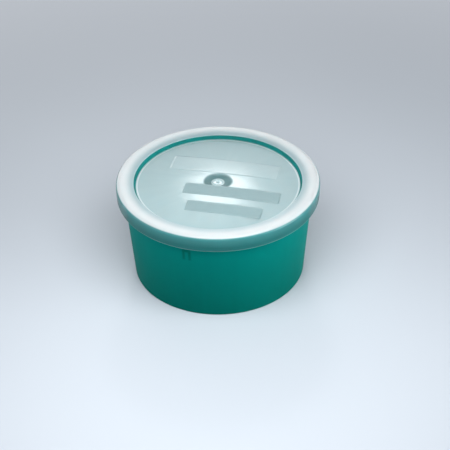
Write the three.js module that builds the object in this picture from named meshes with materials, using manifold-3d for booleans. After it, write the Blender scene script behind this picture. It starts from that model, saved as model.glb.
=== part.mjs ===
// Denture case: a drafted round cup and the milky lid that closes over its rim.
// Millimetres. Z points up along the axis of both mouldings, and the cup stands on z = 0.

import * as THREE from 'three';
import { mergeVertices } from 'three/addons/utils/BufferGeometryUtils.js';
import Module from 'manifold-3d';

const wasm = await Module();
wasm.setup();

// Cup wall and floor
const cupFootRadius = 42.65; // outside of the wall at the table
const cupFlare = 4.05; // how much further out the wall is at the rim
const cupHeight = 49.8; // table to the top of the rim
const cupWall = 1.2;
const cupFloor = 1.3;
const footHollow = 0.9; // rise of the floor's underside, which leaves a ring to stand on
const footRingWide = 1.7;
const footEdgeRadius = 0.6; // outer bottom edge
const floorFilletRadius = 2.4; // inside corner between floor and wall
const rimEdgeRadius = 0.45;

// Bead round the outside of the cup, which the lid's lip passes to sit under
const beadReach = 1.3; // how far it stands out of the wall
const beadTall = 1.9;
const beadDrop = 3.5; // rim to the middle of the bead

// Mark that the gate leaves under the floor
const cupGateRadius = 3;
const cupGateDepth = 0.35;
const cupGateNubRadius = 0.7;
const cupGateNubTall = 0.5;

// Lugs inside the wall, each an upside-down U, that keep stacked cups from wedging
const lugCount = 3;
const lugWide = 4.3;
const lugTall = 6.2;
const lugTop = 40; // height of their upper end
const lugLegWide = 1.35;
const lugBarTall = 1.5;
const lugReach = 0.9; // how far they stand in from the wall
const firstLugDegrees = -97; // round the axis from +X

// Fit of the lid on the cup
const seatGap = 0.3; // between the rim and the crown above it
const slipClearance = 0.3; // beside the bead and inside the mouth

// Lid shell
const lidWall = 1.1;
const skirtDepth = 8.45; // top of the crown to the lid's lower edge
const skirtDraft = 0.15; // how much the skirt draws in on its way down
const shoulderWide = 2.2; // rounding between crown and skirt, across
const shoulderTall = 1.9; // and down
const crownFall = 0.8; // top of the crown down to the edge of the recess
const crownInset = 2.7; // how far the crown reaches in past the seal ring
const recessDepth = 2.1; // edge of the recess down to the edge of the panel
const recessDraft = 1.1; // how much the recess draws in on its way down
const recessEdgeRadius = 0.45;
const recessFootRadius = 0.35;
const panelDome = 1.35; // rise of the panel from its edge to its middle

// Lip along the lower edge of the skirt, and the ring that enters the cup's mouth
const lipReach = 0.9; // how far it stands in from the skirt
const lipTall = 1.2;
const lipSlope = 0.8; // height in which it runs out into the skirt
const lipRoundWide = 1.7; // rounding of its outer bottom edge, across
const lipRoundTall = 0.95; // and down
const sealRingWall = 0.9;
const sealRingDepth = 3.8; // top of the crown to the ring's lower edge
const sealEdgeRadius = 0.3;

// Dish in the middle of the panel, with the gate's ring and nub in it
const dishRadius = 7.3;
const dishFloorRadius = 3.2;
const dishDepth = 0.8;
const gateRingRadius = 2.4;
const gateRingWide = 0.9;
const gateRingTall = 0.22;
const gateNubRadius = 0.9;
const gateNubTall = 0.8;

// Raised pads on the panel: one bare plate behind the dish, two writing strips in front.
// Middle and size are shares of the panel's radius.
const namePlateTall = 0.2; // how far it stands up
const stripTall = 0.15;
const namePlateShares = { x: 0.02, y: 0.332, long: 1.346, deep: 0.328 };
const stripShares = [
  { x: 0.214, y: -0.206, long: 1.173, deep: 0.22 },
  { x: 0.189, y: -0.553, long: 0.914, deep: 0.202 },
];

// Fineness
const facetsRound = 72; // facets once round the axis
const markFacets = 24; // facets round a gate mark
const facetError = 0.03; // how far a rounded corner may stray from its true arc
const domeFacets = 6; // from the dish to the edge of the panel
const archFacets = 5; // across the crown
const shoulderFacets = 6;
const lipFacets = 4;
const beadFacets = 6;
const weldDistance = 0.0001;

// Sizes that follow from those above
const cupMouthRadius = cupFootRadius + cupFlare;
const cupSlope = cupFlare / cupHeight;
const wallOutside = (height) => cupFootRadius + cupSlope * height;
const wallInside = (height) => wallOutside(height) - cupWall;
const floorTop = footHollow + cupFloor;
const beadLevel = cupHeight - beadDrop;
const beadRadius = wallOutside(beadLevel) + beadReach;

const lipInside = beadRadius + slipClearance;
const lidRadius = lipInside + lipReach + lidWall;
const peakRadius = lidRadius - shoulderWide; // where the crown is highest
const rimInside = cupMouthRadius - cupWall;
const sealOutside = wallInside(cupHeight - (sealRingDepth - lidWall)) - slipClearance;
const sealInside = sealOutside - sealRingWall;
const recessRadius = sealInside - crownInset;
const panelRadius = recessRadius - recessDraft;

// The crown is an arc with its highest point at peakRadius; heights are below its top
const archWide = peakRadius - recessRadius;
const archRadius = (archWide ** 2 + crownFall ** 2) / (2 * crownFall);
const crownUnderside = (radius) =>
  Math.sqrt((archRadius - lidWall) ** 2 - (peakRadius - radius) ** 2) - archRadius;
const lidTop = cupHeight + seatGap - crownUnderside(rimInside);

const panelEdge = -crownFall - recessDepth;
const panelHeight = (radius) => panelEdge + panelDome * (1 - (radius / panelRadius) ** 2);

const point = (radius, height, rounding = 0) => ({ at: new THREE.Vector2(radius, height), rounding });
const plain = (vectors) => vectors.map((vector) => ({ at: vector, rounding: 0 }));

// Points of an elliptical arc in the section, from one angle to the other
function arc(middleRadius, middleHeight, wide, tall, fromDegrees, toDegrees, facets) {
  const from = THREE.MathUtils.degToRad(fromDegrees);
  const to = THREE.MathUtils.degToRad(toDegrees);
  const curve = new THREE.EllipseCurve(middleRadius, middleHeight, wide, tall, from, to, to < from);
  return curve.getPoints(facets);
}

// Arc that rounds one corner, held to half of the shorter side beside it
function roundCorner(before, corner, after) {
  const back = before.at.clone().sub(corner.at);
  const on = after.at.clone().sub(corner.at);
  const room = Math.min(back.length(), on.length()) / 2;
  back.normalize();
  on.normalize();
  const halfAngle = back.angleTo(on) / 2;
  const tangent = Math.min(corner.rounding / Math.tan(halfAngle), room);
  const radius = tangent * Math.tan(halfAngle);
  const inward = back.clone().add(on).normalize();
  const middle = corner.at.clone().addScaledVector(inward, radius / Math.sin(halfAngle));
  const first = corner.at.clone().addScaledVector(back, tangent).sub(middle);
  const last = corner.at.clone().addScaledVector(on, tangent).sub(middle);
  const sweep = Math.atan2(first.cross(last), first.dot(last));
  const facets = Math.max(2, Math.ceil(Math.abs(sweep) / (2 * Math.acos(1 - facetError / radius))));
  const turned = (step) => first.clone().rotateAround(new THREE.Vector2(), (sweep * step) / facets);
  return Array.from({ length: facets + 1 }, (_, step) => turned(step).add(middle));
}

// Section with its rounded corners drawn out; its two ends are never rounded
function drawSection(corners) {
  return corners.flatMap((corner, i) =>
    corner.rounding > facetError ? roundCorner(corners[i - 1], corner, corners[i + 1]) : [corner.at]
  );
}

// The same run of corners moved to its right by a wall's thickness
function offsetSection(corners, thickness) {
  const sides = corners.slice(1).map((corner, i) => {
    const along = corner.at.clone().sub(corners[i].at).normalize();
    return new THREE.Vector2(along.y, -along.x);
  });
  return corners.map((corner, i) => {
    const inbound = sides[Math.max(i - 1, 0)];
    const onward = sides[Math.min(i, sides.length - 1)];
    const shift = inbound.clone().add(onward).multiplyScalar(thickness / (1 + inbound.dot(onward)));
    return { at: corner.at.clone().add(shift), rounding: corner.rounding };
  });
}

// Closed triangle mesh made into a solid
function toSolid(geometry) {
  geometry.deleteAttribute('normal');
  geometry.deleteAttribute('uv');
  const welded = mergeVertices(geometry, weldDistance);
  const triangles = [];
  for (let i = 0; i < welded.index.count; i += 3) {
    const [a, b, c] = [0, 1, 2].map((corner) => welded.index.getX(i + corner));
    if (a !== b && b !== c && c !== a) triangles.push(a, b, c);
  }
  const vertProperties = Float32Array.from(welded.attributes.position.array);
  const triVerts = Uint32Array.from(triangles);
  return new wasm.Manifold(new wasm.Mesh({ numProp: 3, vertProperties, triVerts }));
}

// Section turned once round the axis; a section off the axis is closed first
function revolve(corners, facets = facetsRound) {
  const outline = drawSection(corners);
  if (outline[0].x > 0) outline.push(outline[0].clone());
  const geometry = new THREE.LatheGeometry(outline, facets);
  return toSolid(geometry.rotateX(Math.PI / 2));
}

function toMesh(name, solid, material) {
  const { vertProperties, triVerts } = solid.getMesh();
  const geometry = new THREE.BufferGeometry();
  geometry.setAttribute('position', new THREE.BufferAttribute(vertProperties, 3));
  geometry.setIndex(new THREE.BufferAttribute(triVerts, 1));
  geometry.computeVertexNormals();
  const mesh = new THREE.Mesh(geometry, material);
  mesh.name = name;
  return mesh;
}

// Cup: foot ring, drafted wall with the bead near its rim, and the floor
function makeCupShell() {
  const footRingInside = cupFootRadius - footRingWide;
  const swell = arc(0, 0, beadReach, beadTall / 2, -90, 90, beadFacets);
  const bead = swell.map(({ x, y }) => new THREE.Vector2(wallOutside(beadLevel + y) + x, beadLevel + y));
  return revolve([
    point(0, footHollow),
    point(footRingInside, footHollow),
    point(footRingInside, 0),
    point(cupFootRadius, 0, footEdgeRadius),
    ...plain(bead),
    point(cupMouthRadius, cupHeight, rimEdgeRadius),
    point(rimInside, cupHeight, rimEdgeRadius),
    point(wallInside(floorTop), floorTop, floorFilletRadius),
    point(0, floorTop),
  ]);
}

// Gate mark under the cup: a shallow round pocket with the nub left in it
function markCupGate(shell) {
  const pocketTop = footHollow + cupGateDepth;
  const pocket = revolve([
    point(0, 0),
    point(cupGateRadius, 0),
    point(cupGateRadius, pocketTop),
    point(0, pocketTop),
  ], markFacets);
  const nubRoot = pocketTop + cupFloor / 4;
  const nub = revolve([
    point(0, pocketTop - cupGateNubTall),
    point(cupGateNubRadius, pocketTop - cupGateNubTall),
    point(cupGateNubRadius, nubRoot),
    point(0, nubRoot),
  ], markFacets);
  return shell.subtract(pocket).add(nub);
}

// Lugs: a ring along the inside of the wall, kept only where the U outlines cut it
function makeLugs() {
  const ring = revolve([
    point(wallInside(0) - lugReach, 0),
    point(wallInside(0) + cupWall / 2, 0),
    point(wallInside(cupHeight) + cupWall / 2, cupHeight),
    point(wallInside(cupHeight) - lugReach, cupHeight),
  ]);
  const side = lugWide / 2;
  const gap = side - lugLegWide;
  const foot = lugTop - lugTall;
  const outline = new THREE.Shape([
    new THREE.Vector2(-side, foot),
    new THREE.Vector2(-gap, foot),
    new THREE.Vector2(-gap, lugTop - lugBarTall),
    new THREE.Vector2(gap, lugTop - lugBarTall),
    new THREE.Vector2(gap, foot),
    new THREE.Vector2(side, foot),
    new THREE.Vector2(side, lugTop),
    new THREE.Vector2(-side, lugTop),
  ]);
  return Array.from({ length: lugCount }, (_, i) => {
    const block = new THREE.ExtrudeGeometry(outline, { depth: cupMouthRadius, bevelEnabled: false });
    const turn = firstLugDegrees + (360 * i) / lugCount + 90; // the block itself points along -Y
    block.rotateX(Math.PI / 2).rotateZ(THREE.MathUtils.degToRad(turn));
    return ring.intersect(toSolid(block));
  });
}

// Panel of the lid from its middle out to the edge: the dish, then the dome
function panelSection() {
  const dome = Array.from({ length: domeFacets }, (_, i) => {
    const radius = dishRadius + ((panelRadius - dishRadius) * i) / domeFacets;
    return point(radius, panelHeight(radius));
  });
  return [
    point(0, panelHeight(0) - dishDepth),
    point(dishFloorRadius, panelHeight(dishFloorRadius) - dishDepth),
    ...dome,
  ];
}

// Lid: panel, recess, arched crown and skirt as one wall of even thickness, ending in the lip
function makeLidShell() {
  const halfArch = THREE.MathUtils.radToDeg(Math.asin(archWide / archRadius));
  const arch = arc(peakRadius, -archRadius, archRadius, archRadius, 90 + halfArch, 90, archFacets);
  const shoulder = arc(peakRadius, -shoulderTall, shoulderWide, shoulderTall, 90, 0, shoulderFacets);
  const skirtFoot = point(lidRadius - skirtDraft, lipRoundTall - skirtDepth);
  const face = [
    ...panelSection(),
    point(panelRadius, panelEdge, recessFootRadius),
    point(recessRadius, -crownFall, recessEdgeRadius),
    ...plain(arch.slice(1, -1)),
    ...plain(shoulder),
    skirtFoot,
  ];
  const underside = offsetSection(face, lidWall).slice(0, -1);
  const lipMiddle = skirtFoot.at.x - lipRoundWide;
  const lipRound = arc(lipMiddle, skirtFoot.at.y, lipRoundWide, lipRoundTall, -90, 0, lipFacets);
  const lip = [
    point(lipInside + lipReach, lipTall + lipSlope - skirtDepth),
    point(lipInside, lipTall - skirtDepth),
    point(lipInside, -skirtDepth),
    ...plain(lipRound.slice(0, -1)),
  ];
  underside[0].at.x = 0; // the offset of the middle stays on the axis
  return revolve([...underside, ...lip, ...face.reverse()]);
}

// Ring under the crown that enters the cup's mouth and keeps the lid central
function makeSealRing() {
  const root = crownUnderside(sealInside) + lidWall / 2;
  return revolve([
    point(sealInside, root),
    point(sealInside, -sealRingDepth),
    point(sealOutside, -sealRingDepth, sealEdgeRadius),
    point(sealOutside, root),
  ]);
}

// Gate mark in the dish: a low ring round a nub
function makeLidGate() {
  const base = panelHeight(0) - dishDepth;
  const root = base - lidWall / 2;
  const ringSlope = gateRingWide / 3;
  return revolve([
    point(0, root),
    point(gateRingRadius + gateRingWide / 2, root),
    point(gateRingRadius + gateRingWide / 2, base),
    point(gateRingRadius + gateRingWide / 2 - ringSlope, base + gateRingTall),
    point(gateRingRadius - gateRingWide / 2 + ringSlope, base + gateRingTall),
    point(gateRingRadius - gateRingWide / 2, base),
    point(gateNubRadius, base),
    point(gateNubRadius / 2, base + gateNubTall),
    point(0, base + gateNubTall),
  ], markFacets);
}

// Pad on the panel: a rectangle cut out of a skin that lies over the panel's own curve
function makePad({ x, y, long, deep }, tall) {
  const under = [...panelSection(), point(panelRadius, panelEdge)];
  const lower = under.map(({ at }) => point(at.x, at.y - lidWall / 2));
  const upper = under.slice(2).reverse().map(({ at }) => point(at.x, at.y + tall));
  const skin = revolve([...lower, ...upper, point(0, panelHeight(0) + tall)]);
  const halfLong = (long * panelRadius) / 2;
  const halfDeep = (deep * panelRadius) / 2;
  const outline = new THREE.Shape([
    new THREE.Vector2(-halfLong, -halfDeep),
    new THREE.Vector2(halfLong, -halfDeep),
    new THREE.Vector2(halfLong, halfDeep),
    new THREE.Vector2(-halfLong, halfDeep),
  ]);
  const block = new THREE.ExtrudeGeometry(outline, { depth: skirtDepth, bevelEnabled: false });
  block.translate(x * panelRadius, y * panelRadius, -skirtDepth);
  return skin.intersect(toSolid(block));
}

const cupPlastic = new THREE.MeshStandardMaterial({ color: 0x00796d, roughness: 0.3, metalness: 0 });
const lidPlastic = new THREE.MeshStandardMaterial({ color: 0xb4d0d4, roughness: 0.35, metalness: 0 });

const cupSolid = makeLugs().reduce((solid, lug) => solid.add(lug), markCupGate(makeCupShell()));
const cup = toMesh('cup', cupSolid, cupPlastic);

const pads = [
  makePad(namePlateShares, namePlateTall),
  ...stripShares.map((shares) => makePad(shares, stripTall)),
];
const lidParts = [makeSealRing(), makeLidGate(), ...pads];
const lidSolid = lidParts.reduce((solid, part) => solid.add(part), makeLidShell());
const lid = toMesh('lid', lidSolid, lidPlastic);
lid.position.z = lidTop;

const dentureCase = new THREE.Group();
dentureCase.add(cup, lid);

export default dentureCase;
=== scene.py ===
import math

import bmesh
import bpy
from mathutils import Matrix, Vector, geometry


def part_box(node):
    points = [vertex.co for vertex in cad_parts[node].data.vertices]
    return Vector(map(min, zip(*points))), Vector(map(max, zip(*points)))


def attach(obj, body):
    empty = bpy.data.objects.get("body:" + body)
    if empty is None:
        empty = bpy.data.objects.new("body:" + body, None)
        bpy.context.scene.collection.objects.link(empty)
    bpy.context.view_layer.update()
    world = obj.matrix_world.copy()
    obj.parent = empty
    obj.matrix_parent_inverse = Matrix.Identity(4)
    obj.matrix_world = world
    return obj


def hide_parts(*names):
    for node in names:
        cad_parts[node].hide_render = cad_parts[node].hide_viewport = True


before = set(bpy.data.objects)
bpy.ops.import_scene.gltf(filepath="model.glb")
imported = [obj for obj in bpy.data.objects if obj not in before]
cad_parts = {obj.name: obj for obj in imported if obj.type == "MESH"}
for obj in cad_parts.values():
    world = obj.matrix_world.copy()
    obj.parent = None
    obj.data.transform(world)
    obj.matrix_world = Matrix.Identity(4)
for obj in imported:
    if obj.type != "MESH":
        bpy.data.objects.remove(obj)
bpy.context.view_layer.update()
mm = 0.001
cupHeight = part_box("cup")[1].z / mm
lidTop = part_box("lid")[1].z / mm
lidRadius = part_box("lid")[1].x / mm
print("frame loaded, top of the lid at", round(lidTop, 2), "mm")


def addObject(name, data):
    added = bpy.data.objects.new(name, data)
    bpy.context.scene.collection.objects.link(added)
    return added


# View

view = {
    "turn": 12.9,  # degrees from the lid's writing strips to the camera's right
    "distance": 714.2,  # mm from the middle of the case's foot
    "elevation": 37.028,  # degrees above the table, seen from there
    "pitch": 35.515,  # how far the camera looks down
    "yaw": 0.310,  # how far it looks to the right of the case's axis
    "roll": -0.982,
    "focalPixels": 1397.75,
    "imagePixels": 450,
    "sensor": 36,  # mm
    "clipStart": 10,  # mm
}


def turned(vector):
    # a direction or place seen from the camera's side, in the case's own frame
    return Matrix.Rotation(math.radians(view["turn"]), 3, "Z") @ Vector(vector)


def heading(bearing, height):
    # direction at a bearing, clockwise from straight behind the case, and at a height over level
    bearing, height = math.radians(bearing), math.radians(height)
    level = math.cos(height)
    return Vector((math.sin(bearing) * level, math.cos(bearing) * level, math.sin(height)))


def makeCamera():
    roll = math.radians(view["roll"])
    forward = heading(view["yaw"], -view["pitch"])
    level = forward.cross(Vector((0, 0, 1))).normalized()
    raised = level.cross(forward)
    right = math.cos(roll) * level + math.sin(roll) * raised
    up = math.cos(roll) * raised - math.sin(roll) * level
    data = bpy.data.cameras.new("camera")
    data.sensor_width = view["sensor"]
    data.lens = view["focalPixels"] * view["sensor"] / view["imagePixels"]
    data.clip_start = view["clipStart"] * mm
    camera = addObject("camera", data)
    camera.matrix_world = Matrix([turned(right), turned(up), -turned(forward)]).transposed().to_4x4()
    camera.location = turned(heading(180, view["elevation"]) * view["distance"] * mm)
    bpy.context.scene.camera = camera


makeCamera()
print("camera placed")


# Sections: corners are (radius, height, rounding) in mm, and a closed section runs with the
# material on its left

meshForm = {
    "segments": 256,  # facets round the axis
    "arcSteps": 14,
    "roundingDegrees": 12,  # most that a rounding turns in one step
    "roundingSteps": 3,  # fewest steps of a rounding
    "longestStep": 3,  # mm between rings on a straight run
    "onAxis": 1e-6,  # mm
    "weld": 0.002,  # mm
}


def arc(middleRadius, middleHeight, wide, tall, fromDegrees, toDegrees, steps=meshForm["arcSteps"]):
    points = []
    for i in range(steps + 1):
        angle = math.radians(fromDegrees + (toDegrees - fromDegrees) * i / steps)
        points.append((middleRadius + wide * math.cos(angle), middleHeight + tall * math.sin(angle), 0))
    return points


def roundCorner(before, corner, after):
    at = Vector(corner[:2])
    back, onward = Vector(before[:2]) - at, Vector(after[:2]) - at
    room = min(back.length, onward.length) / 2
    back.normalize()
    onward.normalize()
    half = back.angle(onward) / 2
    tangent = min(corner[2] / math.tan(half), room)
    radius = tangent * math.tan(half)
    middle = at + (back + onward).normalized() * radius / math.sin(half)
    first, last = at + back * tangent - middle, at + onward * tangent - middle
    sweep = math.atan2(first.cross(last), first.dot(last))
    steps = math.ceil(abs(math.degrees(sweep)) / meshForm["roundingDegrees"])
    steps = max(meshForm["roundingSteps"], steps)
    return [middle + Matrix.Rotation(sweep * i / steps, 2) @ first for i in range(steps + 1)]


def drawSection(corners):
    points = []
    for i, corner in enumerate(corners):
        if corner[2] > 0:
            points += roundCorner(corners[i - 1], corner, corners[i + 1])
        else:
            points.append(Vector(corner[:2]))
    return points


def offsetSection(corners, thickness):
    # the same run moved to its right by the thickness
    sides = []
    for start, end in zip(corners, corners[1:]):
        along = (Vector(end[:2]) - Vector(start[:2])).normalized()
        sides.append(Vector((along.y, -along.x)))
    moved = []
    for i, corner in enumerate(corners):
        inbound, onward = sides[max(i - 1, 0)], sides[min(i, len(sides) - 1)]
        shift = (inbound + onward) * thickness / (1 + inbound.dot(onward))
        moved.append((corner[0] + shift.x, corner[1] + shift.y, corner[2]))
    return moved


def splitLong(points):
    # extra rings on long straight runs, so that the mesh stays even
    out = [points[0]]
    for start, end in zip(points, points[1:]):
        pieces = max(1, math.ceil((end - start).length / meshForm["longestStep"]))
        out += [start.lerp(end, i / pieces) for i in range(1, pieces + 1)]
    return out


def circleLoop(radius, count):
    angles = [2 * math.pi * i / count for i in range(count)]
    return [(radius * math.cos(angle), radius * math.sin(angle)) for angle in angles]


def revolve(mesh, points):
    segments = meshForm["segments"]
    rings = []
    for point in points:
        if point.x < meshForm["onAxis"]:
            rings.append([mesh.verts.new((0, 0, point.y * mm))])
        else:
            loop = circleLoop(point.x * mm, segments)
            rings.append([mesh.verts.new((x, y, point.y * mm)) for x, y in loop])
    for low, high in zip(rings, rings[1:]):
        for i in range(segments):
            j = (i + 1) % segments
            corners = [low[i % len(low)], low[j % len(low)], high[j % len(high)], high[i % len(high)]]
            mesh.faces.new(list(dict.fromkeys(corners)))  # a triangle where one ring is a point
    return rings


def finishMesh(name, mesh):
    data = bpy.data.meshes.new(name)
    mesh.to_mesh(data)
    mesh.free()
    return data


def makePiece(name, mesh, body, node, sharpDegrees):
    bmesh.ops.remove_doubles(mesh, verts=mesh.verts, dist=meshForm["weld"] * mm)
    bmesh.ops.recalc_face_normals(mesh, faces=mesh.faces)
    data = finishMesh(name, mesh)
    data.shade_smooth()
    data.set_sharp_from_angle(angle=math.radians(sharpDegrees))
    piece = addObject(name, data)
    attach(piece, body)
    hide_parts(node)
    return piece


# Cup, in mm and degrees

cupForm = {
    "draftDegrees": 4.65,
    "mouthRadius": 46.7,
    "wall": 1.2,
    "floor": 1.3,
    "footHollow": 0.9,
    "footRingWide": 1.7,
    "footEdge": 0.6,
    "footInnerEdge": 0.2,
    "footFillet": 0.4,
    "floorFillet": 2.4,
    "rimEdge": 0.45,
    "beadReach": 1.3,
    "beadTall": 1.9,
    "beadDrop": 3.5,
    "gateRadius": 3,
    "gateDepth": 0.35,
    "gateEdge": 0.15,
    "gateNubRadius": 0.7,
    "gateNubTall": 0.5,
    "gateNubFillet": 0.1,
    "lugCount": 3,
    "lugWide": 4.3,
    "lugTall": 6.2,
    "lugTop": 40,
    "lugLegWide": 1.35,
    "lugBarTall": 1.5,
    "lugReach": 0.9,
    "lugEdge": 0.25,
    "lugEdgeSteps": 3,
    "lugEdgeProfile": 0.5,  # round
    "lugFoldDegrees": 50,  # edges that fold more than this are rounded
    "firstLugDegrees": -97,
    "sharpDegrees": 40,  # folds above this stay sharp in the shading
}
cupSlope = math.tan(math.radians(cupForm["draftDegrees"]))
lugSide = cupForm["lugWide"] / 2
lugGap = lugSide - cupForm["lugLegWide"]
lugFoot = cupForm["lugTop"] - cupForm["lugTall"]
lugUnder = cupForm["lugTop"] - cupForm["lugBarTall"]


def wallOutside(height):
    return cupForm["mouthRadius"] - cupSlope * (cupHeight - height)


def wallInside(height):
    return wallOutside(height) - cupForm["wall"]


def cupSection():
    form = cupForm
    floorTop = form["footHollow"] + form["floor"]
    pocketTop = form["footHollow"] + form["gateDepth"]
    nubFoot = pocketTop - form["gateNubTall"]
    level = cupHeight - form["beadDrop"]
    swell = arc(0, level, form["beadReach"], form["beadTall"] / 2, -90, 90)
    bead = [(wallOutside(height) + reach, height, 0) for reach, height, _ in swell]
    ringInside = wallOutside(0) - form["footRingWide"]
    mouth = form["mouthRadius"]
    return drawSection([
        (0, nubFoot, 0),
        (form["gateNubRadius"], nubFoot, form["gateEdge"]),
        (form["gateNubRadius"], pocketTop, form["gateNubFillet"]),
        (form["gateRadius"], pocketTop, form["gateEdge"]),
        (form["gateRadius"], form["footHollow"], form["gateEdge"]),
        (ringInside, form["footHollow"], form["footFillet"]),
        (ringInside, 0, form["footInnerEdge"]),
        (wallOutside(0), 0, form["footEdge"]),
        *bead,
        (mouth, cupHeight, form["rimEdge"]),
        (mouth - form["wall"], cupHeight, form["rimEdge"]),
        (wallInside(floorTop), floorTop, form["floorFillet"]),
        (0, floorTop, 0),
    ])


def addLug(mesh, turnDegrees):
    # upside-down U on the inside of the wall, as (along the wall, height) round its outline
    side, gap, foot, under, top = lugSide, lugGap, lugFoot, lugUnder, cupForm["lugTop"]
    outline = [
        (-side, foot), (-gap, foot), (-gap, under), (gap, under),
        (gap, foot), (side, foot), (side, top), (gap, top), (-gap, top), (-side, top),
    ]
    leftLeg, bar, rightLeg = (0, 1, 2, 8, 9), (2, 3, 7, 8), (3, 4, 5, 6, 7)  # points of each face
    layers = []
    for depth in (-cupForm["lugReach"], cupForm["wall"] / 2):
        layer = []
        for along, height in outline:
            radius = wallInside(height) + depth
            angle = math.radians(turnDegrees) + along / wallInside(height)
            point = (radius * math.cos(angle) * mm, radius * math.sin(angle) * mm, height * mm)
            layer.append(mesh.verts.new(point))
        layers.append(layer)
    inner, outer = layers
    for i in range(len(outline)):
        j = (i + 1) % len(outline)
        mesh.faces.new([inner[i], inner[j], outer[j], outer[i]])
    for layer in layers:
        for part in (leftLeg, bar, rightLeg):
            mesh.faces.new([layer[k] for k in part])
    return inner


def makeLugs():
    form = cupForm
    mesh = bmesh.new()
    front = []  # points of the faces that look into the cup
    for i in range(form["lugCount"]):
        front += addLug(mesh, form["firstLugDegrees"] + 360 * i / form["lugCount"])
    bmesh.ops.recalc_face_normals(mesh, faces=mesh.faces)
    proud = [edge for edge in mesh.edges if all(vert in front for vert in edge.verts)
             and edge.calc_face_angle() > math.radians(form["lugFoldDegrees"])]
    bmesh.ops.bevel(mesh, geom=proud, offset=form["lugEdge"] * mm, segments=form["lugEdgeSteps"],
                    profile=form["lugEdgeProfile"], affect="EDGES")
    return addObject("lugs", finishMesh("lugs", mesh))


def makeCup():
    mesh = bmesh.new()
    revolve(mesh, splitLong(cupSection()))
    cup = makePiece("teal_cup", mesh, "cup_body", "cup", cupForm["sharpDegrees"])
    lugs = makeLugs()
    join = cup.modifiers.new("lugs", "BOOLEAN")
    join.operation = "UNION"
    join.solver = "EXACT"
    join.object = lugs
    bpy.context.view_layer.update()
    joined = bpy.data.meshes.new_from_object(cup.evaluated_get(bpy.context.evaluated_depsgraph_get()))
    cup.modifiers.clear()
    cup.data = joined
    cup.data.name = "teal_cup"
    cup.data.set_sharp_from_angle(angle=math.radians(cupForm["sharpDegrees"]))
    bpy.data.objects.remove(lugs)
    return cup


cup = makeCup()
print("cup made,", len(cup.data.polygons), "faces")


# Lid, in mm and degrees

lidForm = {
    "wall": 1.1,
    "skirtDepth": 8.45,
    "skirtDraft": 0.15,
    "shoulderWide": 2.2,
    "shoulderTall": 1.9,
    "crownFall": 0.8,
    "crownInset": 2.7,
    "recessDepth": 2.1,
    "recessDraft": 1.1,
    "recessEdge": 0.45,
    "recessFoot": 0.35,
    "panelDome": 1.35,
    "lipReach": 0.9,
    "lipTall": 1.2,
    "lipSlope": 0.8,
    "lipEdge": 0.3,
    "lipFootEdge": 0.08,
    "lipRoundWide": 1.7,
    "lipRoundTall": 0.95,
    "slip": 0.3,
    "sealWall": 0.9,
    "sealDepth": 3.8,
    "sealEdge": 0.3,
    "sealFillet": 0.15,
    "sealMargin": 0.3,  # beside the seal ring, kept free of other corners
    "domeSteps": 12,
    "lipSteps": 8,
    "sharpDegrees": 50,  # folds above this stay sharp in the shading
}
beadRadius = wallOutside(cupHeight - cupForm["beadDrop"]) + cupForm["beadReach"]
lipInside = beadRadius + lidForm["slip"]
lidFoot = lidTop - lidForm["skirtDepth"]
peakRadius = lidRadius - lidForm["shoulderWide"]
sealOutside = wallInside(cupHeight - (lidForm["sealDepth"] - lidForm["wall"])) - lidForm["slip"]
sealInside = sealOutside - lidForm["sealWall"]
recessRadius = sealInside - lidForm["crownInset"]
recessBrink = lidTop - lidForm["crownFall"]
panelRadius = recessRadius - lidForm["recessDraft"]
panelEdge = recessBrink - lidForm["recessDepth"]
archWide = peakRadius - recessRadius
archRadius = (archWide ** 2 + lidForm["crownFall"] ** 2) / (2 * lidForm["crownFall"])

# Middle of the panel: dish, gate ring and nub
dishForm = {
    "radius": 7.3,
    "floorRadius": 3.2,
    "depth": 0.8,
    "ringRadius": 2.4,
    "ringWide": 0.9,
    "ringTall": 0.22,
    "nubRadius": 0.9,
    "nubTall": 0.8,
    "nubSteepness": 1.6,
}

# Pads on the panel: middle and size as shares of the panel's radius, tall and run in mm
padForms = {
    "plate": {"x": 0.02, "y": 0.332, "long": 1.346, "deep": 0.328, "tall": 0.2, "run": 0.9},
    "upperStrip": {"x": 0.214, "y": -0.206, "long": 1.173, "deep": 0.22, "tall": 0.15, "run": 0.25},
    "lowerStrip": {"x": 0.189, "y": -0.553, "long": 0.914, "deep": 0.202, "tall": 0.15, "run": 0.25},
}

# The panel's mesh: rows of points along each feature, and free points between them
panelMesh = {
    "spacing": 1.6,  # mm between free points
    "near": 1e-5,  # mm, points closer than this are one
    "padCorner": 0.35,  # mm
    "padCornerLeast": 0.05,  # mm
    "padCornerSteps": 3,
    "padRows": (-0.35, 0, 0.25, 0.5, 0.75, 1, 1.35),  # shares of the pad's run
    "dishRows": (0.35, 0, -0.35),  # mm from each edge of the dish's slope
    "dishPoints": 72,
    "ringRows": (-1.3, -1, -0.5, 0, 0.5, 1, 1.3),  # shares of half the ring's width
    "ringPoints": 48,
    "nubRows": (1.25, 1, 0.8, 0.6, 0.4, 0.2),  # shares of the nub's radius
    "nubPoints": 20,
}


def domeHeight(radius):
    return panelEdge + lidForm["panelDome"] * (1 - (radius / panelRadius) ** 2)


def smooth(value):
    # from 0 to 1 with level ends
    value = min(max(value, 0), 1)
    return value * value * (3 - 2 * value)


def padDistance(pad, x, y):
    # how far a point lies outside the pad's outline; less than zero inside it
    corner = panelMesh["padCorner"]
    pastSide = abs(x - pad["x"] * panelRadius) - pad["long"] * panelRadius / 2 + corner
    pastEnd = abs(y - pad["y"] * panelRadius) - pad["deep"] * panelRadius / 2 + corner
    outside = math.hypot(max(pastSide, 0), max(pastEnd, 0))
    return outside + min(max(pastSide, pastEnd), 0) - corner


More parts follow.
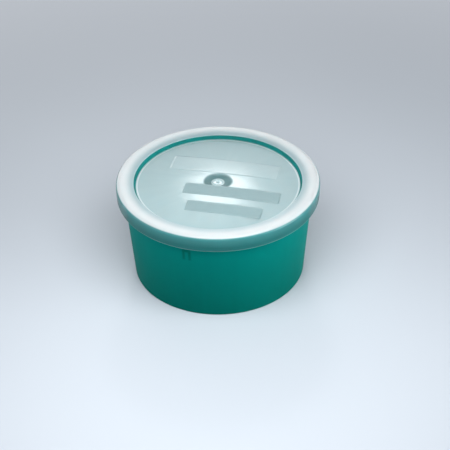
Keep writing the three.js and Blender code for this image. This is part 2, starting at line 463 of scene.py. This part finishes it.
def panelHeight(x, y):
    radius = math.hypot(x, y)
    dish = dishForm
    across = (dish["radius"] - radius) / (dish["radius"] - dish["floorRadius"])
    ring = 1 - abs(radius - dish["ringRadius"]) / (dish["ringWide"] / 2)
    nub = dish["nubSteepness"] * (1 - radius / dish["nubRadius"])
    height = domeHeight(radius) - dish["depth"] * min(max(across, 0), 1)
    height += dish["ringTall"] * smooth(ring) + dish["nubTall"] * smooth(nub)
    for pad in padForms.values():
        inside = smooth(-padDistance(pad, x, y) / pad["run"])
        height += (domeHeight(radius) + pad["tall"] - height) * inside
    return height


def padLoop(pad, inset):
    # outline of the pad moved inwards by the inset
    corner = max(panelMesh["padCorner"] - inset, panelMesh["padCornerLeast"])
    halfLong = pad["long"] * panelRadius / 2 - inset - corner
    halfDeep = pad["deep"] * panelRadius / 2 - inset - corner
    middle = Vector((pad["x"], pad["y"])) * panelRadius
    steps = panelMesh["padCornerSteps"]
    points = []
    for quarter, (sideways, endways) in enumerate([(1, 1), (-1, 1), (-1, -1), (1, -1)]):
        for step in range(steps + 1):
            angle = math.radians(90 * quarter + 90 / steps * step)
            around = Vector((math.cos(angle), math.sin(angle))) * corner
            points.append(middle + Vector((sideways * halfLong, endways * halfDeep)) + around)
    loop = []
    for start, end in zip(points, points[1:] + points[:1]):
        pieces = max(1, math.ceil((end - start).length / panelMesh["spacing"]))
        loop += [tuple(start.lerp(end, i / pieces)) for i in range(pieces)]
    return loop


def panelLoops():
    dish, rows = dishForm, panelMesh
    slope = [dish[edge] + side for edge in ("radius", "floorRadius") for side in rows["dishRows"]]
    ring = [dish["ringRadius"] + dish["ringWide"] / 2 * share for share in rows["ringRows"]]
    nub = [dish["nubRadius"] * share for share in rows["nubRows"]]
    loops = [circleLoop(radius, rows["dishPoints"]) for radius in slope]
    loops += [circleLoop(radius, rows["ringPoints"]) for radius in ring]
    loops += [circleLoop(radius, rows["nubPoints"]) for radius in nub]
    loops += [padLoop(pad, share * pad["run"]) for pad in padForms.values() for share in rows["padRows"]]
    return loops


def freePoints(kept):
    # a staggered grid over the panel, wherever no kept point is near
    spacing = panelMesh["spacing"]
    taken = {(round(x / spacing), round(y / spacing)) for x, y in kept}
    reach = math.ceil(panelRadius / spacing)
    free = []
    for i in range(-reach, reach + 1):
        for j in range(-reach, reach + 1):
            x, y = (i + (j % 2) / 2) * spacing, j * spacing
            clear = (round(x / spacing), round(y / spacing)) not in taken
            if clear and math.hypot(x, y) < panelRadius - spacing:
                free.append((x, y))
    return free


def makePanel(mesh, edgeRing):
    # top of the panel: its loops and free points joined by triangles, then lifted to their heights
    points, edges = [(0, 0)], []
    for loop in [[(vert.co.x / mm, vert.co.y / mm) for vert in edgeRing], *panelLoops()]:
        first = len(points)
        points += loop
        edges += [(first + i, first + (i + 1) % len(loop)) for i in range(len(loop))]
    points += freePoints(points)
    places = [Vector(point) for point in points]
    everyTriangle = 0  # the kind of result to give
    flat, _, triangles, *_ = geometry.delaunay_2d_cdt(places, edges, [], everyTriangle, panelMesh["near"])
    verts = [mesh.verts.new((x * mm, y * mm, panelHeight(x, y) * mm)) for x, y in flat]
    for corners in triangles:
        mesh.faces.new([verts[k] for k in corners])


def lidFace():
    # outer corners from the edge of the panel to the foot of the skirt
    form = lidForm
    halfArch = math.degrees(math.asin(archWide / archRadius))
    arch = arc(peakRadius, lidTop - archRadius, archRadius, archRadius, 90 + halfArch, 90)
    shoulderMiddle = lidTop - form["shoulderTall"]
    shoulder = arc(peakRadius, shoulderMiddle, form["shoulderWide"], form["shoulderTall"], 90, 0)
    return [
        (panelRadius, panelEdge, form["recessFoot"]),
        (recessRadius, recessBrink, form["recessEdge"]),
        *arch[1:-1],
        *shoulder,
        (lidRadius - form["skirtDraft"], lidFoot + form["lipRoundTall"], 0),
    ]


def archUnderside(radius):
    # height of the crown's underside
    reach = archRadius - lidForm["wall"]
    return lidTop - archRadius + math.sqrt(reach ** 2 - (peakRadius - radius) ** 2)


def addSealRing(inner):
    # the seal ring hangs from the crown between two corners of the underside
    form = lidForm
    sealFoot = lidTop - form["sealDepth"]
    return [
        *[corner for corner in inner if corner[0] < sealInside - form["sealMargin"]],
        (sealInside, archUnderside(sealInside), form["sealFillet"]),
        (sealInside, sealFoot, form["sealEdge"]),
        (sealOutside, sealFoot, form["sealEdge"]),
        (sealOutside, archUnderside(sealOutside), form["sealFillet"]),
        *[corner for corner in inner if corner[0] > sealOutside + form["sealMargin"]],
    ]


def makeLid():
    form, dish = lidForm, dishForm
    dome = []
    for i in range(form["domeSteps"]):
        radius = dish["radius"] + (panelRadius - dish["radius"]) * i / form["domeSteps"]
        dome.append((radius, domeHeight(radius), 0))
    dishFloor = [(radius, domeHeight(radius) - dish["depth"], 0) for radius in (0, dish["floorRadius"])]
    face = lidFace()
    inner = offsetSection([*dishFloor, *dome, *face], form["wall"])[:-1]
    inner[0] = (0, inner[0][1], 0)
    skirtRadius, skirtFoot, _ = face[-1]
    lipRound = arc(skirtRadius - form["lipRoundWide"], skirtFoot,
                   form["lipRoundWide"], form["lipRoundTall"], -90, 0, form["lipSteps"])
    lip = [
        (lipInside + form["lipReach"], lidFoot + form["lipTall"] + form["lipSlope"], form["lipEdge"]),
        (lipInside, lidFoot + form["lipTall"], form["lipEdge"]),
        (lipInside, lidFoot, form["lipFootEdge"]),
        *lipRound[:-1],
    ]
    section = drawSection([*addSealRing(inner), *lip, *reversed(face), dome[-1]])[:-1]
    mesh = bmesh.new()
    rings = revolve(mesh, splitLong(section))
    makePanel(mesh, rings[-1])
    return makePiece("clear_lid", mesh, "lid_body", "lid", form["sharpDegrees"])


lid = makeLid()
print("lid made,", len(lid.data.polygons), "faces")


# Materials

# Places of the factor, the first and second value and the output on a Mix node
mixSockets = {"FLOAT": (0, 2, 3, 0), "RGBA": (0, 6, 7, 2)}


def addNode(tree, kind, x, y, **settings):
    node = tree.nodes.new(kind)
    node.location = (x, y)
    for name, value in settings.items():
        setattr(node, name, value)
    return node


def newMaterial(name):
    material = bpy.data.materials.new(name)
    material.use_nodes = True
    material.node_tree.nodes.clear()
    output = addNode(material.node_tree, "ShaderNodeOutputMaterial", 900, 0)
    shader = addNode(material.node_tree, "ShaderNodeBsdfPrincipled", 500, 0)
    material.node_tree.links.new(shader.outputs[0], output.inputs[0])
    return material, material.node_tree, shader


def dress(piece, material):
    piece.data.materials.clear()
    piece.data.materials.append(material)


def newGroup(name, inputs, outputs):
    tree = bpy.data.node_groups.new(name, "ShaderNodeTree")
    for way, names in (("INPUT", inputs), ("OUTPUT", outputs)):
        for socketName in names:
            tree.interface.new_socket(socketName, in_out=way, socket_type="NodeSocketFloat")
    return tree, addNode(tree, "NodeGroupInput", -900, 0), addNode(tree, "NodeGroupOutput", 700, 0)


def useGroup(tree, group, values, x, y):
    node = addNode(tree, "ShaderNodeGroup", x, y, node_tree=group)
    for name, value in values.items():
        node.inputs[name].default_value = value
    return node


def feed(tree, socket, value):
    # another node's output is linked, and a colour or number is set on the socket itself
    if isinstance(value, bpy.types.NodeSocket):
        tree.links.new(value, socket)
    elif isinstance(value, tuple):
        socket.default_value = (*value, 1)
    else:
        socket.default_value = value


def maths(tree, operation, x, y, *values):
    node = addNode(tree, "ShaderNodeMath", x, y, operation=operation)
    for socket, value in zip(node.inputs, values):
        feed(tree, socket, value)
    return node.outputs["Value"]


def vectorMaths(tree, operation, x, y, *values):
    # a vector comes out, but a number for LENGTH
    node = addNode(tree, "ShaderNodeVectorMath", x, y, operation=operation)
    for socket, value in zip(node.inputs, values):
        feed(tree, socket, value)
    return node.outputs["Value" if operation == "LENGTH" else "Vector"]


def noise(tree, x, y, dimensions="3D", **values):
    node = addNode(tree, "ShaderNodeTexNoise", x, y, noise_dimensions=dimensions)
    for name, value in values.items():
        feed(tree, node.inputs[name], value)
    return node.outputs["Fac"]


def mix(tree, kind, x, y, *values):
    # second over first where the factor is 1
    node = addNode(tree, "ShaderNodeMix", x, y, data_type=kind)
    *places, out = mixSockets[kind]
    for place, value in zip(places, values):
        feed(tree, node.inputs[place], value)
    return node.outputs[out]


def between(tree, value, low, high, x, y, kind="SMOOTHSTEP"):
    # from 0 at low to 1 at high
    node = addNode(tree, "ShaderNodeMapRange", x, y, interpolation_type=kind)
    feed(tree, node.inputs["Value"], value)
    feed(tree, node.inputs["From Min"], low)
    feed(tree, node.inputs["From Max"], high)
    return node.outputs["Result"]


def softEdge(tree, value, edge, soft, x, y):
    # rises across an edge in mm, and falls across it where soft is below zero
    return between(tree, value, (edge - soft) * mm, (edge + soft) * mm, x, y)


def allOf(tree, masks, x, y):
    joined = masks[0]
    for mask in masks[1:]:
        joined = maths(tree, "MULTIPLY", x, y, joined, mask)
    return joined


def ownCoords(tree, x, y):
    return addNode(tree, "ShaderNodeTexCoord", x, y).outputs["Object"]


def splitUp(tree, vector, x, y):
    split = addNode(tree, "ShaderNodeSeparateXYZ", x, y)
    tree.links.new(vector, split.inputs[0])
    return split.outputs


def fromAbove(tree, vector, x, y):
    # the same place with its height left out
    return vectorMaths(tree, "MULTIPLY", x, y, vector, Vector((1, 1, 0)))


def makePlaceGroup():
    # distance from the axis and height above the table, both in metres
    tree, _, end = newGroup("placeOnCase", [], ["Radius", "Height"])
    coords = ownCoords(tree, -700, 0)
    radius = vectorMaths(tree, "LENGTH", -200, 100, fromAbove(tree, coords, -400, 100))
    tree.links.new(radius, end.inputs["Radius"])
    tree.links.new(splitUp(tree, coords, -400, -100)["Z"], end.inputs["Height"])
    return tree


def makeGrainGroup():
    # the fine texture of the mould and the slow waves of a thin moulding, as a height
    inputs, outputs = ["Grain Size", "Grain", "Wave Size", "Waves"], ["Height", "Mottle"]
    tree, start, end = newGroup("mouldGrain", inputs, outputs)
    coords = ownCoords(tree, -900, -300)
    fineScale = maths(tree, "DIVIDE", -600, 0, 1, start.outputs["Grain Size"])
    slowScale = maths(tree, "DIVIDE", -600, -200, 1, start.outputs["Wave Size"])
    fine = noise(tree, -400, 0, Vector=coords, Scale=fineScale, Detail=2)
    slow = noise(tree, -400, -200, Vector=coords, Scale=slowScale, Detail=1)
    grain = maths(tree, "MULTIPLY", -100, 0, fine, start.outputs["Grain"])
    waves = maths(tree, "MULTIPLY", -100, -200, slow, start.outputs["Waves"])
    tree.links.new(maths(tree, "ADD", 200, 0, grain, waves), end.inputs["Height"])
    tree.links.new(slow, end.inputs["Mottle"])
    return tree


def makeStreakGroup():
    # flow marks of the plastic, running out from the gate on the axis
    tree, start, end = newGroup("flowStreaks", ["Count", "Length"], ["Streaks"])
    coords = ownCoords(tree, -900, -300)
    outwards = vectorMaths(tree, "NORMALIZE", -500, -200, fromAbove(tree, coords, -700, -200))
    spread = vectorMaths(tree, "MULTIPLY", -300, -200, outwards, start.outputs["Count"])
    reach = vectorMaths(tree, "LENGTH", -500, -400, coords)
    along = maths(tree, "DIVIDE", -300, -400, reach, start.outputs["Length"])
    streaks = noise(tree, 0, -200, "4D", Vector=spread, W=along, Scale=1, Detail=3)
    tree.links.new(streaks, end.inputs["Streaks"])
    return tree


placeGroup = makePlaceGroup()
grainGroup = makeGrainGroup()
streakGroup = makeStreakGroup()


def addFlow(tree, paint, x, y):
    # streaks that swing by half their strength to either side of zero
    values = {"Count": paint["streakCount"], "Length": paint["streakLength"] * mm}
    streaks = useGroup(tree, streakGroup, values, x, y)
    level = maths(tree, "SUBTRACT", x + 300, y, streaks.outputs["Streaks"], 0.5)
    return maths(tree, "MULTIPLY", x + 500, y, level, paint["streaks"])


def addSurface(tree, shader, paint, colour, roughness, x, y):
    # what both plastics share: uneven gloss, the mould's grain, and light that travels in the wall
    grain = useGroup(tree, grainGroup, {
        "Grain Size": paint["grainSize"] * mm, "Grain": paint["grain"],
        "Wave Size": paint["waveSize"] * mm, "Waves": paint["waves"],
    }, x, y)
    uneven = maths(tree, "MULTIPLY", x + 700, y, grain.outputs["Mottle"], paint["uneven"])
    bump = addNode(tree, "ShaderNodeBump", x + 1200, y - 100)
    bump.inputs["Distance"].default_value = paint["bump"] * mm
    tree.links.new(grain.outputs["Height"], bump.inputs["Height"])
    tree.links.new(bump.outputs[0], shader.inputs["Normal"])
    tree.links.new(colour, shader.inputs["Base Color"])
    tree.links.new(maths(tree, "ADD", x + 900, y, uneven, roughness), shader.inputs["Roughness"])
    shader.inputs["Subsurface Weight"].default_value = paint["glow"]
    shader.inputs["Subsurface Radius"].default_value = paint["glowReach"]
    shader.inputs["Subsurface Scale"].default_value = mm


# Cup plastic

cupPaint = {
    "deep": (0.0, 0.113, 0.093),  # at the foot, darkened as painted shade
    "clear": (0.0, 0.206, 0.186),  # at the rim, where the painted shade has lifted
    "paintedLightCurve": 1.5,  # how late the painted shade lifts on its way up
    "paintedLugShade": (0.0, 0.120, 0.095),  # painted shade of the thick lugs, as they read through the wall
    "lugSoft": 0.5,  # mm
    "roughness": 0.42,
    "uneven": 0.16,
    "shine": 0.015,
    "grainSize": 0.4,  # mm
    "grain": 0.25,
    "waveSize": 16,  # mm
    "waves": 1.2,
    "bump": 0.02,  # mm
    "streakCount": 12,
    "streakLength": 50,  # mm
    "streaks": 0.15,
    "glow": 0.7,
    "glowReach": (0.4, 1.6, 1.5),  # mm that light of each colour travels in the wall
}


def paintedLugShadeMask(tree, place, x, y):
    # 1 where painted shade marks a lug behind the wall: two legs and the bar over them, repeated round the
    # cup
    form, soft = cupForm, cupPaint["lugSoft"]
    half = math.pi / form["lugCount"]
    split = splitUp(tree, ownCoords(tree, x, y), x + 200, y)
    bearing = maths(tree, "ARCTAN2", x + 600, y, split["Y"], split["X"])
    bearing = maths(tree, "SUBTRACT", x + 800, y, bearing, math.radians(form["firstLugDegrees"]))
    bearing = maths(tree, "WRAP", x + 1000, y, bearing, half, -half)
    away = maths(tree, "ABSOLUTE", x + 1200, y, bearing)
    along = maths(tree, "MULTIPLY", x + 1400, y, away, place.outputs["Radius"])
    height = place.outputs["Height"]
    side = softEdge(tree, along, lugSide, -soft, x + 1600, y)
    top = softEdge(tree, height, form["lugTop"], -soft, x + 1600, y - 150)
    gap = softEdge(tree, along, lugGap, soft, x + 1600, y - 300)
    foot = softEdge(tree, height, lugFoot, soft, x + 1600, y - 450)
    under = softEdge(tree, height, lugUnder, soft, x + 1600, y - 600)
    legs = allOf(tree, [side, top, gap, foot], x + 1800, y)
    bar = allOf(tree, [side, top, under], x + 1800, y - 300)
    return maths(tree, "MAXIMUM", x + 2000, y, legs, bar)


def makeCupPlastic():
    paint = cupPaint
    material, tree, shader = newMaterial("tealPlastic")
    place = useGroup(tree, placeGroup, {}, -1300, 200)
    # painted shade: the plastic's teal darkens from the rim down to the foot
    paintedLightRise = between(tree, place.outputs["Height"], 0, cupHeight * mm, -1000, 300, "LINEAR")
    paintedLightRise = maths(tree, "POWER", -800, 300, paintedLightRise, paint["paintedLightCurve"])
    paintedLightAndFlow = maths(tree, "ADD", -400, 200, paintedLightRise, addFlow(tree, paint, -1100, -500))
    colour = mix(tree, "RGBA", -200, 200, paintedLightAndFlow, paint["deep"], paint["clear"])
    # painted shade of the lugs, on both faces of the wall
    lugs = paintedLugShadeMask(tree, place, -3200, -900)
    colour = mix(tree, "RGBA", 0, 200, lugs, colour, paint["paintedLugShade"])
    addSurface(tree, shader, paint, colour, paint["roughness"], -1100, -200)
    shader.inputs["Specular IOR Level"].default_value = paint["shine"]
    return material


dress(cup, makeCupPlastic())
print("cup material made")


# Lid plastic

lidPaint = {
    # Colour, share of light that each face of the wall stops, and roughness; each zone lies
    # over those above it
    "zones": {
        "panel": ((0.465, 0.63, 0.66), 0.6, 0.1),
        "paintedEdgeHighlight": ((0.63, 0.745, 0.775), 0.72, 0.1),  # painted highlight along the edge of the panel, at the foot of the recess
        "dish": ((0.22, 0.40, 0.42), 0.36, 0.1),  # painted shade on the dish, which also stops less light, so that more of the dark inside shows
        "plate": ((0.505, 0.66, 0.69), 0.6, 0.12),
        "strips": ((0.275, 0.398, 0.418), 0.85, 0.6),  # matt, for writing on
        "crown": ((0.695, 0.74, 0.76), 0.72, 0.28),  # whiter than the panel, partly from the thick wall over the cup's rim and the seal ring, partly as a painted highlight
        "paintedBrowShade": ((0.40, 0.54, 0.585), 0.66, 0.28),  # painted shade on the inner side of the crown
        "paintedRecessShadeAndCupLight": ((0.0, 0.245, 0.232), 0.5, 0.95),  # painted shade in the recess, tinted with the cup's colour as painted light showing through the wall
        # skirt: the cup's teal painted on, as light seen through the wall
        "skirtPaintedCupLight": ((0.06, 0.305, 0.31), 0.58, 0.28),
        "hemPaintedCupBead": ((0.0, 0.155, 0.156), 0.58, 0.28),  # lower end of the skirt, painted darker teal, as the cup's bead seen through the wall
        "edge": ((0.105, 0.235, 0.222), 0.72, 0.28),  # painted highlight: a paler line low on the skirt, where its lower edge catches the light
    },
    "padSoft": 0.08,  # mm
    "stripFinishAndShadeSpread": 0.35,  # mm that the strips' darker matt finish runs past each strip, over its sides as painted shade and a little beyond
    "uneven": 0.08,
    "grainSize": 0.3,  # mm
    "grain": 0.2,
    "waveSize": 14,  # mm
    "waves": 1,
    "bump": 0.02,  # mm
    "streakCount": 8,
    "streakLength": 40,  # mm
    "streaks": 0.05,
    "glow": 0.7,
    "glowReach": (1.6, 2.0, 2.1),  # mm that light of each colour travels in the wall
}

# Where the zones lie, in mm: each step goes from 0 at its first place to 1 at its second
outward = ("Radius", sealInside - 0.3, sealOutside)
crownFrom = ("Radius", recessRadius - 0.1, recessRadius + 0.5)
lidZones = {
    # painted highlight: a pale ring at the edge of the panel
    "paintedEdgeHighlight": [("Radius", panelRadius - 1, panelRadius - 0.75),
            ("Radius", panelRadius - 0.15, panelRadius - 0.4)],
    # painted shade: a dark ring on the dish's slope
    "dish": [("Radius", dishForm["radius"] + 0.4, dishForm["radius"] - 1.2),
             ("Radius", dishForm["floorRadius"] - 0.4, dishForm["floorRadius"] + 0.5)],
    # the crown is whitened from the recess outwards, partly as a painted highlight
    "crown": [crownFrom],
    # painted shade on the crown's inner slope, down to the recess
    "paintedBrowShade": [crownFrom, ("Radius", peakRadius - 1, recessRadius)],
    # painted shade and painted cup light on the recess wall
    "paintedRecessShadeAndCupLight": [("Radius", panelRadius - 0.1, panelRadius + 0.2),
               ("Height", recessBrink - 0.08, recessBrink - 0.2)],
    # the cup's teal painted on the skirt, as light seen through the wall
    "skirtPaintedCupLight": [outward, ("Height", lidTop - 0.42, lidTop - 1)],
    # painted darker towards the foot of the skirt, as the cup's bead seen through the wall
    "hemPaintedCupBead": [outward, ("Height", lidTop - 1.2, lidFoot + 2.6, "LINEAR")],
    # painted highlight along the lower edge of the skirt
    "edge": [("Radius", lidRadius - 1.8, lidRadius - 1.6),
             ("Height", lidFoot + 0.4, lidFoot + 0.55), ("Height", lidFoot + 1.1, lidFoot + 0.95)],
}


def padMask(tree, pad, spread, x, y):
    # 1 on the pad's face, and past its edge by the spread
    middle = Vector((pad["x"], pad["y"], 0)) * panelRadius * mm
    shifted = vectorMaths(tree, "SUBTRACT", x + 200, y, ownCoords(tree, x, y), middle)
    split = splitUp(tree, shifted, x + 400, y)
    sides = []
    for axis, size in (("X", "long"), ("Y", "deep")):
        half = pad[size] * panelRadius / 2 - pad["run"] / 2 + spread
        away = maths(tree, "ABSOLUTE", x + 600, y, split[axis])
        sides.append(softEdge(tree, away, half, -lidPaint["padSoft"], x + 800, y))
    return allOf(tree, sides, x + 1000, y)


def lidMasks(tree, place):
    masks = {}
    for row, (name, steps) in enumerate(lidZones.items()):
        edges = [between(tree, place.outputs[measure], low * mm, high * mm, -2400, 1200 - 200 * row, *kind)
                 for measure, low, high, *kind in steps]
        masks[name] = allOf(tree, edges, -2200, 1200 - 200 * row)
    # the strips' colour runs over their sides, partly as painted shade
    spread = lidPaint["stripFinishAndShadeSpread"]
    masks["plate"] = padMask(tree, padForms["plate"], 0, -3400, -400)
    masks["strips"] = maths(tree, "MAXIMUM", -2200, -800,
                            padMask(tree, padForms["upperStrip"], spread, -3400, -700),
                            padMask(tree, padForms["lowerStrip"], spread, -3400, -1000))
    return masks


def makeLidPlastic():
    material, tree, shader = newMaterial("milkyPlastic")
    masks = lidMasks(tree, useGroup(tree, placeGroup, {}, -2600, 300))
    zones = dict(lidPaint["zones"])
    colour, cover, roughness = zones.pop("panel")
    for i, (name, values) in enumerate(zones.items()):
        x = 250 * i - 1900
        colour = mix(tree, "RGBA", x, 500, masks[name], colour, values[0])
        cover = mix(tree, "FLOAT", x, 300, masks[name], cover, values[1])
        roughness = mix(tree, "FLOAT", x, 100, masks[name], roughness, values[2])
    flow = addFlow(tree, lidPaint, -1100, -1000)
    tree.links.new(maths(tree, "ADD", 0, 100, cover, flow), shader.inputs["Alpha"])
    addSurface(tree, shader, lidPaint, colour, roughness, -1100, -700)
    return material


dress(lid, makeLidPlastic())
print("lid material made")


# Floor and light

studio = {
    "floor": (0.58, 0.635, 0.70),
    "floorSize": 12,  # m
    "floorCells": 8,
    "floorRoughness": 0.6,
    "floorWear": 0.985,  # brightness of the darkest patches
    "floorPatches": 9,  # to the metre
    "backdrop": (0.56, 0.59, 0.64),  # what shows behind the case
    "fadeFrom": 0.14,  # m from the case, where the floor starts to turn into the backdrop
    "fadeTo": 0.5,
    "ambient": (0.84, 0.90, 0.97),
    "ambientStrength": 0.08,
}

# Soft boxes: bearing clockwise from straight behind the case and height, in degrees; sizes in m
softBoxes = {
    "backBox": {"bearing": -8, "height": 34, "distance": 1.5, "wide": 1.9, "tall": 0.5, "watts": 3},
    "glareBox": {"bearing": 0.2, "height": 35.6, "distance": 1.2, "wide": 0.16, "tall": 0.16, "watts": 1,
                 "shape": "ELLIPSE"},
    "frontBox": {"bearing": 180, "height": 54, "distance": 0.24, "wide": 0.27, "tall": 0.22, "watts": 0.99},
    "rightBox": {"bearing": 108, "height": 4, "distance": 1.2, "wide": 0.7, "tall": 0.3, "watts": 11.5},
    "leftBox": {"bearing": -100, "height": 5, "distance": 1.2, "wide": 0.7, "tall": 0.3, "watts": 4},
    "farBox": {"bearing": -14, "height": 15, "distance": 1.2, "wide": 0.8, "tall": 0.16, "watts": 2.1},
}


def seenRays(tree, x, y):
    # 1 for the rays in which the backdrop is seen: straight, mirrored or through clear plastic
    path = addNode(tree, "ShaderNodeLightPath", x, y).outputs
    rays = maths(tree, "MAXIMUM", x + 200, y, path["Is Camera Ray"], path["Is Glossy Ray"])
    return maths(tree, "MAXIMUM", x + 400, y, rays, path["Is Transmission Ray"])


def makeTableTop():
    # pale and matt near the case, and the plain backdrop further off
    material, tree, shader = newMaterial("paleTable")
    coords = ownCoords(tree, -1400, 0)
    patches = noise(tree, -1200, -250, Vector=coords, Scale=studio["floorPatches"])
    worn = tuple(channel * studio["floorWear"] for channel in studio["floor"])
    colour = mix(tree, "RGBA", -900, -250, patches, worn, studio["floor"])
    tree.links.new(colour, shader.inputs["Base Color"])
    shader.inputs["Roughness"].default_value = studio["floorRoughness"]
    reach = vectorMaths(tree, "LENGTH", -1200, 0, coords)
    far = between(tree, reach, studio["fadeFrom"], studio["fadeTo"], -900, 100)
    backdrop = addNode(tree, "ShaderNodeEmission", 300, -500)
    backdrop.inputs["Color"].default_value = (*studio["backdrop"], 1)
    blend = addNode(tree, "ShaderNodeMixShader", 700, 0)
    tree.links.new(maths(tree, "MULTIPLY", -200, 300, far, seenRays(tree, -900, 400)), blend.inputs[0])
    tree.links.new(shader.outputs[0], blend.inputs[1])
    tree.links.new(backdrop.outputs[0], blend.inputs[2])
    tree.links.new(blend.outputs[0], tree.nodes["Material Output"].inputs["Surface"])
    return material


def makeFloor():
    mesh = bmesh.new()
    cells = studio["floorCells"]
    bmesh.ops.create_grid(mesh, x_segments=cells, y_segments=cells, size=studio["floorSize"] / 2)
    floor = addObject("floor", finishMesh("floor", mesh))
    dress(floor, makeTableTop())


def makeSoftBox(name, box):
    data = bpy.data.lights.new(name, "AREA")
    data.shape = box.get("shape", "RECTANGLE")
    data.size, data.size_y = box["wide"], box["tall"]
    data.energy = box["watts"]
    lamp = addObject(name, data)
    lamp.visible_camera = False
    away = turned(heading(box["bearing"], box["height"]))
    lamp.location = Vector((0, 0, lidTop * mm)) + away * box["distance"]
    lamp.rotation_euler = away.to_track_quat("Z", "Y").to_euler()


def makeWorld():
    world = bpy.data.worlds.new("studio")
    world.use_nodes = True
    tree = world.node_tree
    dim = tuple(channel * studio["ambientStrength"] for channel in studio["ambient"])
    light = mix(tree, "RGBA", -200, 0, seenRays(tree, -900, 0), dim, studio["backdrop"])
    tree.links.new(light, tree.nodes["Background"].inputs["Color"])
    bpy.context.scene.world = world


makeFloor()
for name, box in softBoxes.items():
    makeSoftBox(name, box)
makeWorld()
bpy.context.scene.view_settings.view_transform = "Standard"
print("floor and lights made")
